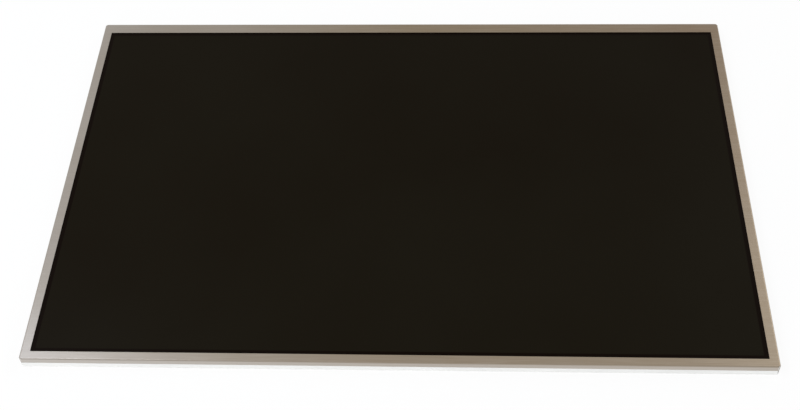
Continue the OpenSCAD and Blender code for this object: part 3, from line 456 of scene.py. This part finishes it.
# Plated holes: on the ground line, and out from and along the chips, the inductors and the films
VIA_R, VIA_HOLE_R = 0.25, 0.11
GROUND_VIAS, GROUND_VIA_START, GROUND_VIA_PITCH = 39, 3, 7.5
CHIP_VIA_OUT = {"timing_controller": 6.6, "gamma_buffer": 4.4, "led_driver": 3.2}
CHIP_VIA_ALONG = (-4.5, -3, -1.5, 0, 1.5, 3, 4.5)
COIL_VIA_OUT, COIL_VIA_ALONG = (3.9, 4.7, 5.5), (-1.9, 1.9)
FILM_VIA_Y, FILM_VIA_STEPS, FILM_VIA_PITCH = BOARD_HIGH - 8.2, range(-6, 7, 2), 2.4

# Test pads, with the place of each row's first one
PAD_R, PADS_IN_ROW, PAD_PITCH = 0.55, 9, 2.2
PAD_ROWS = ((50, BOARD_LOW + 6.6), (-136, BOARD_LOW + 7))
# Sighting marks, with their distances from the board's ends and its outer edge
SIGHT_R, SIGHT_END, SIGHT_EDGE = 0.5, 2.5, 3.2


def finished(name, mesh_maker, material):
    """Makes a piece from a function that fills a bmesh, and puts it on the panel."""
    bm = bmesh.new()
    mesh_maker(bm)
    bmesh.ops.recalc_face_normals(bm, faces=bm.faces)
    mesh = bpy.data.meshes.new(name)
    bm.to_mesh(mesh)
    bm.free()
    mesh.materials.append(material)
    piece = bpy.data.objects.new(name, mesh)
    bpy.context.collection.objects.link(piece)
    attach(piece, "root")
    return piece


def bridge(bm, ring, next_ring):
    """A band of faces between two rings of as many corners."""
    for i in range(len(ring)):
        j = (i + 1) % len(ring)
        bm.faces.new((ring[i], ring[j], next_ring[j], next_ring[i]))


def prism(bm, rings):
    """A closed shape between two rings of corners."""
    bm.faces.new(rings[0])
    bm.faces.new(rings[1])
    bridge(bm, *rings)


def on_face(bm, outline, proud):
    """A flat shape on the board's face, standing proud of it by some metres."""
    rings = []
    for z in (BOARD_FACE - proud, BOARD_FACE + SINK):
        rings.append([bm.verts.new((x * MM, y * MM, z)) for x, y in outline])
    prism(bm, rings)


def shifted(path, offset):
    """The path beside another one, at an even distance from it."""
    normals = []
    for a, b in zip(path, path[1:]):
        along = Vector((b[0] - a[0], b[1] - a[1])).normalized()
        normals.append(Vector((-along.y, along.x)))
    result = []
    for i, point in enumerate(path):
        before = normals[max(i - 1, 0)]
        after = normals[min(i, len(normals) - 1)]
        mean = (before + after).normalized()
        result.append(Vector(point) + mean * (offset / mean.dot(after)))
    return result


def trace(bm, path, width):
    """One line of copper along a path."""
    on_face(bm, shifted(path, width / 2) + shifted(path, -width / 2)[::-1], TRACE_PROUD)


def bus(bm, run):
    """The lines of a run, side by side along its path."""
    for i in range(run.count):
        trace(bm, shifted(run.path, (i - (run.count - 1) / 2) * run.pitch), run.width)


def circle(x, y, radius, sides=12):
    """The corners of a round outline."""
    turns = [2 * math.pi * i / sides for i in range(sides)]
    return [(x + radius * math.cos(t), y + radius * math.sin(t)) for t in turns]


def film_middles():
    """The X of each of the four driver films, from left to right."""
    return [middle("source_film_%d" % i)[0] for i in (1, 2, 3, 4)]


def joined_places(first, seen):
    """The places of all corners that edges join to this one, which are then seen."""
    seen.add(first)
    places, todo = [], [first]
    while todo:
        vert = todo.pop()
        places.append(vert.co / MM)
        for edge in vert.link_edges:
            other = edge.other_vert(vert)
            if other not in seen:
                seen.add(other)
                todo.append(other)
    return places


def lumps(node):
    """The boxes of a node's separate solids, row by row and from left to right in each."""
    bm = bmesh.new()
    bm.from_mesh(frame["nodes"][node].data)
    bmesh.ops.remove_doubles(bm, verts=bm.verts, dist=SAME_PLACE)
    seen = set()
    boxes = []
    for vert in bm.verts:
        if vert not in seen:
            places = joined_places(vert, seen)
            low = Vector([min(place[i] for place in places) for i in range(3)])
            high = Vector([max(place[i] for place in places) for i in range(3)])
            boxes.append((low, high))
    bm.free()
    return sorted(boxes, key=lambda box: (round(box[0].y), box[0].x))


SMALL_PARTS = ("board_capacitors", "board_resistors", "board_screws", "connector_contacts")
SOLIDS = {node: lumps(node) for node in SMALL_PARTS}
COILS = ("power_inductor_1", "power_inductor_2")


def into_film(x, side):
    """The end of a path that comes along the films' lane from one side and turns to a film at x."""
    return [(x + side * FILM_TURN, FILM_LANE), (x, FILM_LANE + FILM_TURN), (x, BOND_Y)]


def memory_run():
    """Between the memory chip and the timing controller."""
    x, y = middle("memory_chip")
    memory_reach = 2.4
    goal = middle("timing_controller")[0] - CONTROLLER_REACH
    return Run([(x + memory_reach, y), (goal, y)], *DATA_LINES)


def left_film_runs():
    """The image data, from the timing controller to the first two films."""
    control_x = middle("timing_controller")[0]
    film = film_middles()
    first = [(control_x - CONTROLLER_REACH, FILM_LANE)] + into_film(film[0] + FILM_WAY, 1)
    second = [(control_x + CONTROLLER_REACH, FILM_LANE)] + into_film(film[1] - FILM_WAY, -1)
    return [Run(first, *DATA_LINES), Run(second, *DATA_LINES)]


def down_to_lane(below, lane):
    """From the timing controller's right side, some way below its middle, down to a low lane."""
    x, y = middle("timing_controller")
    right, start = x + CONTROLLER_REACH, y - below
    stub = 3
    turn = right + stub
    return [(right, start), (turn, start), (turn + (start - lane), lane)]


def right_film_runs():
    """The image data, along the board's inner edge to the other two films."""
    film = film_middles()
    lane, x = LOW_LANES[0], film[2]
    third = down_to_lane(below=0.6, lane=lane)
    third += [(x - LANE_TURN, lane), (x, lane + LANE_TURN), (x, BOND_Y)]
    coil_clear = 9.3
    lane, x = LOW_LANES[1], middle("power_inductor_2")[0] - coil_clear
    fourth = down_to_lane(below=3.2, lane=lane)
    fourth += [(x - LANE_TURN, lane), (x, lane + LANE_TURN)]
    fourth += [(x, FILM_LANE - LANE_TURN), (x + LANE_TURN, FILM_LANE)]
    fourth += into_film(film[3] - FILM_WAY, -1)
    return [Run(third, *EDGE_LINES), Run(fourth, *EDGE_LINES)]


def grey_runs():
    """The grey levels, from their buffer to the two middle films."""
    buffer_x, buffer_y = middle("gamma_buffer")
    film = film_middles()
    # From the buffer's middle to its leads, and to where the lines turn on either side
    reach, left_turn, right_turn = 3.1, 4.6, 4
    above_middle = 1.2
    start = buffer_y + above_middle
    climb = FILM_LANE - start
    left = [(buffer_x - reach, start), (buffer_x - left_turn, start)]
    left.append((buffer_x - left_turn - climb, FILM_LANE))
    left += into_film(film[1] + FILM_WAY, 1)
    x = film[2] - FILM_WAY
    climb = x - buffer_x - right_turn
    right = [(buffer_x + reach, start), (buffer_x + right_turn, start), (x, start + climb)]
    right.append((x, BOND_Y))
    return [Run(left, *GREY_LINES), Run(right, *GREY_LINES)]


def light_run():
    """The light bar's strings, from their driver to the plug."""
    driver_x, driver_y = middle("led_driver")
    plug_x, plug_y = middle("light_bar_connector")
    # From the driver's middle to its leads, and to where the lines turn towards the plug
    reach, turn = 2, 12
    path = [(driver_x + reach, driver_y), (driver_x + turn, driver_y)]
    path += [(driver_x + turn + (plug_y - driver_y), plug_y), (plug_x - PLUG_REACH, plug_y)]
    return Run(path, *LIGHT_LINES)


def routes():
    """The board's wide runs of copper."""
    return [memory_run(), *left_film_runs(), *right_film_runs(), *grey_runs(), light_run()]


def data_tails():
    """The ends of the contacts that carry data: every second one of the last twelve."""
    return [((low.x + high.x) / 2, high.y) for low, high in SOLIDS["connector_contacts"][-12::2]]


def data_lines():
    """The display's data, from the socket's tails to the timing controller."""
    tails = data_tails()
    goal = middle("timing_controller")[0] - CONTROLLER_REACH
    # What is cut off the lines' corners, their pitch, and the last one's height over the tails
    turn, pitch, above = 0.3, 0.26, 0.4
    lines = []
    for i, (x, y) in enumerate(tails):
        level = y + above + pitch * (len(tails) - 1 - i)
        lines.append([(x, y - UNDER), (x, level - turn), (x + turn, level), (goal, level)])
    return lines


def spans(node, x):
    """Whether a node reaches over x."""
    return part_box(node)[0].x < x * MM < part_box(node)[1].x


def capacitor_lines():
    """From each film's capacitors to its bond, and to a hole below them."""
    # From a capacitor's end to its lines, and from its lower edge to a line's end and its hole
    inset, stub, hole = 0.25, 0.4, 0.42
    lines = []
    for low, high in SOLIDS["board_capacitors"]:
        if high.y > FILM_LANE:
            left, right = low.x + inset, high.x - inset
            lines.append(((left, high.y - UNDER), (left, BOND_Y), None))
            lines.append(((right, low.y + UNDER), (right, low.y - stub), (right, low.y - hole)))
    return lines


def resistor_lines():
    """Up from each resistor to a chip or a hole, and down to the contacts left of the data's."""
    # From a resistor's upper edge to a line's end and its hole
    stub, hole = 0.9, 1.1
    into_chip, clear = 0.2, 0.3
    tail_x, tail_y = data_tails()[0]
    lines = []
    for low, high in SOLIDS["board_resistors"]:
        x = (low.x + high.x) / 2
        chip_y = [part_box(chip)[0].y / MM for chip in CHIP_BODIES if spans(chip, x)]
        if chip_y and chip_y[0] > high.y:
            lines.append(((x, high.y - UNDER), (x, chip_y[0] + into_chip), None))
            continue
        lines.append(((x, high.y - UNDER), (x, high.y + stub), (x, high.y + hole)))
        if x < tail_x - clear:
            lines.append(((x, tail_y - UNDER), (x, low.y + UNDER), None))
    return lines


def small_lines():
    """Short lines at the small parts: each has a start, an end, and a hole at its end or None."""
    return capacitor_lines() + resistor_lines()


def make_power_areas(bm):
    """The copper round each inductor, in two halves."""
    for node in COILS:
        x, y = middle(node)
        for side in (-1, 1):
            on_face(bm, [(x + side * dx, y + dy) for dx, dy in POWER_AREA], TRACE_PROUD)


def make_ground_line(bm):
    """The ground line: from the socket both ways along the inner edge, and up the board's ends."""
    left, right = BOARD_LEFT + GROUND_EDGE, BOARD_RIGHT - GROUND_EDGE
    low, high = BOARD_LOW + GROUND_EDGE, BOARD_HIGH - GROUND_EDGE
    socket_left, socket_right = [corner.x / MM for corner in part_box("connector_shell")]
    plug_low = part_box("light_bar_connector")[0].y / MM
    socket_gap, plug_gap, film_reach = 0.4, 0.6, 18.6
    film_end = film_middles()[0] - film_reach
    path = [(socket_left - socket_gap, low), (left, low), (left, high), (film_end, high)]
    trace(bm, path, WIDE_W)
    path = [(socket_right + socket_gap, low), (right, low), (right, plug_low - plug_gap)]
    trace(bm, path, WIDE_W)


def make_traces(bm):
    """Copper under the mask, from part to part as such a board needs it."""
    for run in routes():
        bus(bm, run)
    for path in data_lines():
        trace(bm, path, DATA_W)
    for start, end, hole in small_lines():
        trace(bm, [start, end], TRACE_W)
    make_power_areas(bm)
    make_ground_line(bm)


def line_distance(x, y, path):
    """How far a point is from a path."""
    nearest = math.inf
    for a, b in zip(path, path[1:]):
        along = Vector(b) - Vector(a)
        part = (Vector((x, y)) - Vector(a)).dot(along) / along.length_squared
        foot = Vector(a) + along * min(1, max(0, part))
        nearest = min(nearest, (Vector((x, y)) - foot).length)
    return nearest


def near_box(x, y, low, high, reach):
    """Whether a point is in a box or within reach of it."""
    return low.x - reach < x < high.x + reach and low.y - reach < y < high.y + reach


def with_free_places(holes, places, reach=0.45, spacing=0.7):
    """The holes, and those places that keep clear of them, the board's parts and its wide runs."""
    boxes = [box for solids in SOLIDS.values() for box in solids]
    larger = (*CHIP_BODIES, *COILS, "connector_shell", "light_bar_connector")
    boxes += [[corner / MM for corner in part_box(node)] for node in larger]
    lines = [(run.path, (run.count - 1) * run.pitch / 2 + run.width / 2) for run in routes()]
    lines += [(path, DATA_W / 2) for path in data_lines()]
    result = list(holes)
    for x, y in places:
        crowded = any(math.dist((x, y), other) < spacing for other in result)
        on_part = any(near_box(x, y, low, high, reach) for low, high in boxes)
        on_line = any(line_distance(x, y, path) <= half + reach for path, half in lines)
        if not (crowded or on_part or on_line):
            result.append((x, y))
    return result


def via_places():
    """Where plated holes come through: by the ground line, the larger parts and lines' ends."""
    first, y = BOARD_LEFT + GROUND_VIA_START, BOARD_LOW + GROUND_EDGE
    places = [(first + GROUND_VIA_PITCH * i, y) for i in range(GROUND_VIAS)]
    for node, out in CHIP_VIA_OUT.items():
        x, y = middle(node)
        for along in CHIP_VIA_ALONG:
            places += [(x - out, y + along), (x + out, y + along)]
    for node in COILS:
        x, y = middle(node)
        for out in COIL_VIA_OUT:
            places += [(x + side * out, y + dy) for side in (-1, 1) for dy in COIL_VIA_ALONG]
    for x in film_middles():
        places += [(x + FILM_VIA_PITCH * i, FILM_VIA_Y) for i in FILM_VIA_STEPS]
    return with_free_places([hole for start, end, hole in small_lines() if hole], places)


def make_vias(bm):
    """Rings of tinned copper, each a closed washer."""
    face, buried = BOARD_FACE - VIA_PROUD, BOARD_FACE + SINK
    section = ((VIA_R, face), (VIA_R, buried), (VIA_HOLE_R, buried), (VIA_HOLE_R, face))
    for x, y in via_places():
        rings = []
        for radius, z in section:
            rings.append([bm.verts.new((px * MM, py * MM, z)) for px, py in circle(x, y, radius)])
        for ring, next_ring in zip(rings, rings[1:] + rings[:1]):
            bridge(bm, ring, next_ring)


def make_test_pads(bm):
    """Round bare pads: two rows for testing, and one sighting mark near each end."""
    sides = 16
    for i in range(PADS_IN_ROW):
        for x, y in PAD_ROWS:
            on_face(bm, circle(x + PAD_PITCH * i, y, PAD_R, sides), TRACE_PROUD)
    for x in (BOARD_LEFT + SIGHT_END, BOARD_RIGHT - SIGHT_END):
        on_face(bm, circle(x, BOARD_HIGH - SIGHT_EDGE, SIGHT_R, sides), TRACE_PROUD)


def solder_end(bm, low, high, axis, side):
    """A tinned end with its solder sloping down to the board; low and high are the part's box."""
    # The tin's thickness, how far the solder runs out, and how far the tin covers the part
    skin, toe = 0.012, 0.2
    cap = 0.24 * (high[axis] - low[axis])
    tall = high.z - low.z
    tip = (high if side > 0 else low)[axis]
    # Out from the part's end, and up from the board's face
    profile = [(-cap, 0), (-cap, tall + skin), (skin, tall + skin), (skin, 0.6 * tall)]
    profile += [(toe * 0.45, 0.22 * tall), (toe, 0.02), (toe, 0)]
    other = 1 - axis
    rings = []
    for across in (low[other] - skin, high[other] + skin):
        ring = []
        for out, up in profile:
            place = [0, 0, high.z - up]
            place[axis] = tip + side * out
            place[other] = across
            ring.append(bm.verts.new([value * MM for value in place]))
        rings.append(ring)
    prism(bm, rings)


def make_solder(bm):
    """Both ends of every capacitor and resistor."""
    for node in ("board_capacitors", "board_resistors"):
        for low, high in SOLIDS[node]:
            axis = 0 if high.x - low.x > high.y - low.y else 1
            for side in (-1, 1):
                solder_end(bm, low, high, axis, side)


def make_cover_film(bm):
    """The film's solid, held a hair off what it is glued to, so that no two faces share a plane."""
    bm.from_mesh(frame["nodes"]["board_cover"].data)
    bmesh.ops.remove_doubles(bm, verts=bm.verts, dist=SAME_PLACE)
    bm.normal_update()
    moves = [(vert, vert.normal * vert.calc_shell_factor() * FILM_GAP) for vert in bm.verts]
    for vert, move in moves:
        vert.co -= move


def make_board_detail():
    """The pieces on the board's face, and the clear film over them."""
    copper = board_mask("copper_under_mask", (0.035, 0.190, 0.078), (0.050, 0.240, 0.105))
    tin = plain("solder", (0.55, 0.55, 0.55), 0.42, metallic=1.0)
    finished("board_traces", make_traces, copper)
    finished("board_vias", make_vias, tin)
    finished("board_test_pads", make_test_pads, tin)
    finished("part_solder", make_solder, tin)
    film = finished("cover_film", make_cover_film, MATERIALS["cover_clear"])
    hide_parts("board_cover")


# Surroundings

def background_ray(tree):
    """1 on the rays that see a plain white background: the camera's, mirrors' and glass's."""
    path = tree.nodes.new("ShaderNodeLightPath")
    total = path.outputs["Is Camera Ray"]
    for name in ("Is Glossy Ray", "Is Transmission Ray"):
        either = tree.nodes.new("ShaderNodeMath")
        either.operation = "MAXIMUM"
        tree.links.new(total, either.inputs[0])
        tree.links.new(path.outputs[name], either.inputs[1])
        total = either.outputs[0]
    return total


def mixed(tree, fac, a, b):
    """From shader a to shader b as fac goes from 0 to 1."""
    mix = tree.nodes.new("ShaderNodeMixShader")
    for socket, source in zip(mix.inputs, (fac, a, b)):
        tree.links.new(source, socket)
    return mix.outputs[0]


def make_world(ambient):
    """Soft light from all round, and plain white where the background is seen."""
    world = bpy.data.worlds.new("studio")
    world.use_nodes = True
    tree = world.node_tree
    tree.nodes.clear()
    outputs = []
    for colour, strength in (((0.97, 0.98, 1.0), ambient), ((1, 1, 1), 1.0)):
        light = tree.nodes.new("ShaderNodeBackground")
        light.inputs["Color"].default_value = opaque(colour)
        light.inputs["Strength"].default_value = strength
        outputs.append(light.outputs[0])
    surface = mixed(tree, background_ray(tree), *outputs)
    tree.links.new(surface, tree.nodes.new("ShaderNodeOutputWorld").inputs["Surface"])
    bpy.context.scene.world = world


def floor_material(glow):
    """Mostly glowing white where it is seen as the background, and lit for the rest."""
    material = bpy.data.materials.new("floor")
    material.use_nodes = True
    tree = material.node_tree
    tree.nodes.clear()
    lit = tree.nodes.new("ShaderNodeBsdfDiffuse")
    lit.inputs["Color"].default_value = (0.92, 0.92, 0.92, 1)
    glowing = tree.nodes.new("ShaderNodeEmission")
    glowing.inputs["Strength"].default_value = 1.0
    share = tree.nodes.new("ShaderNodeMath")
    share.operation = "MULTIPLY"
    share.inputs[1].default_value = glow
    tree.links.new(background_ray(tree), share.inputs[0])
    surface = mixed(tree, share.outputs[0], lit.outputs[0], glowing.outputs[0])
    tree.links.new(surface, tree.nodes.new("ShaderNodeOutputMaterial").inputs["Surface"])
    return material


def make_floor(glow):
    """A white floor that keeps the panel's soft shadow."""
    signs = ((-1, -1), (1, -1), (1, 1), (-1, 1))
    corners = [(sx * FLOOR_HALF, sy * FLOOR_HALF, FLOOR_Z) for sx, sy in signs]
    mesh = bpy.data.meshes.new("floor")
    mesh.from_pydata(corners, [], [(0, 1, 2, 3)])
    mesh.materials.append(floor_material(glow))
    floor = bpy.data.objects.new("floor", mesh)
    bpy.context.collection.objects.link(floor)


def area_light(name, place, aim, size, watts, colour=(1, 1, 1), mirrored=False):
    """A round soft lamp, which shows in glossy surfaces only if it is mirrored."""
    light = bpy.data.lights.new(name, "AREA")
    light.shape = "DISK"
    light.size = size
    light.energy = watts
    light.color = colour
    lamp = bpy.data.objects.new(name, light)
    lamp.location = place
    lamp.rotation_euler = (Vector(aim) - Vector(place)).to_track_quat("-Z", "Y").to_euler()
    lamp.visible_glossy = mirrored
    bpy.context.collection.objects.link(lamp)


def make_lamps():
    """Two lamps for the light alone, and two that also lie on the metal."""
    centre = (0, 0, 0)
    area_light("key", (-0.9, -0.5, 1.3), centre, size=0.9, watts=8)
    # This one lies on the metal's right side
    area_light("fill", (0.85, 0.55, 0.75), centre, size=0.8, watts=3.2, mirrored=True)
    area_light("front", (-0.3, -1.6, 0.5), centre, size=1.2, watts=7)
    # And this one on its near left corner
    corner, cool = (-0.17, -0.11, 0), (0.74, 0.84, 1.0)
    area_light("sheen", (-0.40, 0.12, 0.69), corner, 0.2, 0.95, cool, mirrored=True)


def make_camera():
    """The photograph's view, with its slight roll."""
    back = Vector((
        math.sin(AZIMUTH) * math.cos(ELEVATION),
        -math.cos(AZIMUTH) * math.cos(ELEVATION),
        math.sin(ELEVATION),
    ))
    level = (-back).cross(Vector((0, 0, 1))).normalized()
    upright = level.cross(-back)
    right = math.cos(ROLL) * level + math.sin(ROLL) * upright
    up = -math.sin(ROLL) * level + math.cos(ROLL) * upright
    data = bpy.data.cameras.new("camera")
    data.lens = LENS_MM
    data.sensor_width = SENSOR_MM
    data.sensor_fit = "HORIZONTAL"
    data.clip_start = CLIP_START
    camera = bpy.data.objects.new("camera", data)
    turn = Matrix((right, up, back)).transposed().to_4x4()
    camera.matrix_world = Matrix.Translation(AIM + back * DISTANCE) @ turn
    bpy.context.collection.objects.link(camera)
    bpy.context.scene.camera = camera


make_camera()
dress_nodes()
make_board_detail()
make_world(ambient=0.55)
make_floor(glow=0.9)
make_lamps()

bpy.context.scene.view_settings.view_transform = "Standard"
